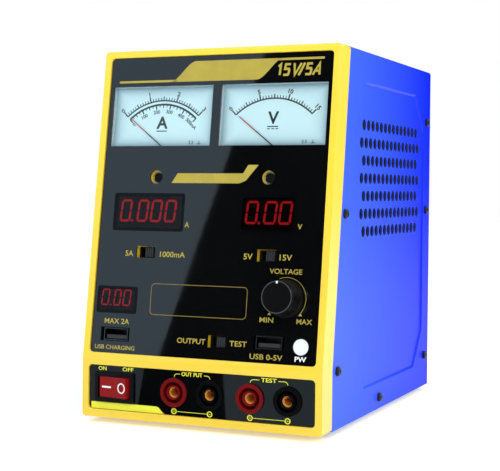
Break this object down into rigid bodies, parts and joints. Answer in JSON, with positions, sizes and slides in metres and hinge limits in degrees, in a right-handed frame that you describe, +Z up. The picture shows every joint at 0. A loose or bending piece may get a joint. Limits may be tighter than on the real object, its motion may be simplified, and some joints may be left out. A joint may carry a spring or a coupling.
{
  "type": "bench power supply",
  "caption": "Upright bench power supply with a sloping front: analogue ammeter and voltmeter, red digit displays, voltage knob, USB sockets, rocker switch and 4 mm output jacks.",
  "frame": {"origin": "on the surface under the feet, at the middle of the object's box from side to side and front to back", "axes": "+Z up, +Y from the front panel to the rear panel, +X to the right seen from the front"},
  "size_m": [0.1314, 0.1916, 0.187],
  "materials": {
    "yellow_plastic": "semi-gloss moulded",
    "fascia": "high gloss black",
    "blue_paint": "fine satin powder coat",
    "zinc_steel": "zinc plated",
    "foot_rubber": "matt",
    "black_screw": "black oxide",
    "steel_screw": "bright zinc",
    "pale_plastic": "matt",
    "dial_face": "matt print",
    "clear_window": "clear polished",
    "magnet_steel": "plated",
    "needle_black": "matt",
    "black_plastic": "fine texture",
    "smoked_window": "gloss smoked",
    "led_module": "matt",
    "circuit_board": "solder mask",
    "slider_grey": "matt",
    "knob_black": "satin",
    "socket_metal": "nickel plated",
    "tongue_plastic": "matt",
    "lamp_white": "frosted",
    "rocker_red": "gloss",
    "jack_red": "gloss",
    "jack_black": "gloss",
    "brass": "turned",
    "core_iron": "varnished laminations",
    "winding": "taped",
    "black_aluminium": "black anodised",
    "capacitor": "sleeved"
  },
  "bodies": {
    "case": {"front_bezel": "yellow_plastic", "upper_fascia": "fascia", "lower_fascia": "fascia", "case_cover": "blue_paint", "base_chassis": "zinc_steel", "rear_panel": "zinc_steel", "rubber_feet": "foot_rubber", "cover_screws": "black_screw", "chassis_screws": "steel_screw", "current_display": "led_module", "voltage_display": "led_module", "charge_display": "led_module", "display_windows": "smoked_window", "display_board": "circuit_board", "board_screws": "steel_screw", "current_switch_body": "black_plastic", "range_switch_body": "black_plastic", "output_switch_body": "black_plastic", "potentiometer_body": "zinc_steel", "potentiometer_nut": "steel_screw", "usb_charge_port": "socket_metal", "usb_supply_port": "socket_metal", "usb_tongues": "tongue_plastic", "power_lamp": "lamp_white", "rocker_frame": "black_plastic", "rocker_terminals": "brass", "red_jacks": "jack_red", "black_jacks": "jack_black", "jack_contacts": "brass", "jack_nuts": "steel_screw", "transformer_core": "core_iron", "transformer_windings": "winding", "transformer_bracket": "zinc_steel", "heat_sink": "black_aluminium", "power_transistors": "black_plastic", "main_board": "circuit_board", "capacitors": "capacitor", "board_standoffs": "brass", "mains_inlet": "black_plastic", "inlet_pins": "socket_metal", "inlet_screws": "steel_screw", "ammeter_housing": "pale_plastic", "ammeter_dial": "dial_face", "ammeter_window": "clear_window", "ammeter_movement": "magnet_steel", "voltmeter_housing": "pale_plastic", "voltmeter_dial": "dial_face", "voltmeter_window": "clear_window", "voltmeter_movement": "magnet_steel"},
    "ammeter_pointer": {"ammeter_needle": "needle_black"},
    "voltmeter_pointer": {"voltmeter_needle": "needle_black"},
    "ammeter_zero_screw": {"ammeter_adjuster": "black_plastic"},
    "voltmeter_zero_screw": {"voltmeter_adjuster": "black_plastic"},
    "current_slider": {"current_switch_slider": "slider_grey"},
    "range_slider": {"range_switch_slider": "slider_grey"},
    "output_slider": {"output_switch_slider": "slider_grey"},
    "knob": {"voltage_knob": "knob_black", "potentiometer_shaft": "zinc_steel"},
    "rocker": {"rocker_button": "rocker_red"},
    "fuse_tray": {"fuse_drawer": "black_plastic"}
  },
  "joints": [
    {"name": "ammeter_needle_turn", "type": "hinge", "parent": "case", "child": "ammeter_pointer", "pos_m": [-0.02825, -0.06934, 0.13668], "axis": [0, 0.9901, -0.1405], "range_deg": [0, 98], "stiffness_Nm_per_rad": 0.0003, "springref_deg": -11.46},
    {"name": "voltmeter_needle_turn", "type": "hinge", "parent": "case", "child": "voltmeter_pointer", "pos_m": [0.03225, -0.06934, 0.13668], "axis": [0, 0.9901, -0.1405], "range_deg": [0, 98], "stiffness_Nm_per_rad": 0.0003, "springref_deg": -11.46},
    {"name": "ammeter_zero_turn", "type": "hinge", "parent": "case", "child": "ammeter_zero_screw", "pos_m": [-0.03025, -0.07097, 0.12237], "axis": [0, 0.9901, -0.1405], "range_deg": [-25, 25]},
    {"name": "voltmeter_zero_turn", "type": "hinge", "parent": "case", "child": "voltmeter_zero_screw", "pos_m": [0.03025, -0.07097, 0.12237], "axis": [0, 0.9901, -0.1405], "range_deg": [-25, 25]},
    {"name": "current_switch_slide", "type": "slide", "parent": "case", "child": "current_slider", "axis": [-1, 0, 0], "range_m": [0, 0.0028]},
    {"name": "range_switch_slide", "type": "slide", "parent": "case", "child": "range_slider", "axis": [-1, 0, 0], "range_m": [0, 0.0028]},
    {"name": "output_switch_slide", "type": "slide", "parent": "case", "child": "output_slider", "axis": [-1, 0, 0], "range_m": [0, 0.0028]},
    {"name": "voltage_knob_turn", "type": "hinge", "parent": "case", "child": "knob", "pos_m": [0.0432, -0.08285, 0.06567], "axis": [0, 0.9901, -0.1405], "range_deg": [-135, 135]},
    {"name": "rocker_tip", "type": "hinge", "parent": "case", "child": "rocker", "pos_m": [-0.04585, -0.08594, 0.0183], "axis": [0, 0, 1], "range_deg": [0, 16]},
    {"name": "fuse_drawer_slide", "type": "slide", "parent": "case", "child": "fuse_tray", "axis": [0, 1, 0], "range_m": [0, 0.014]}
  ]
}
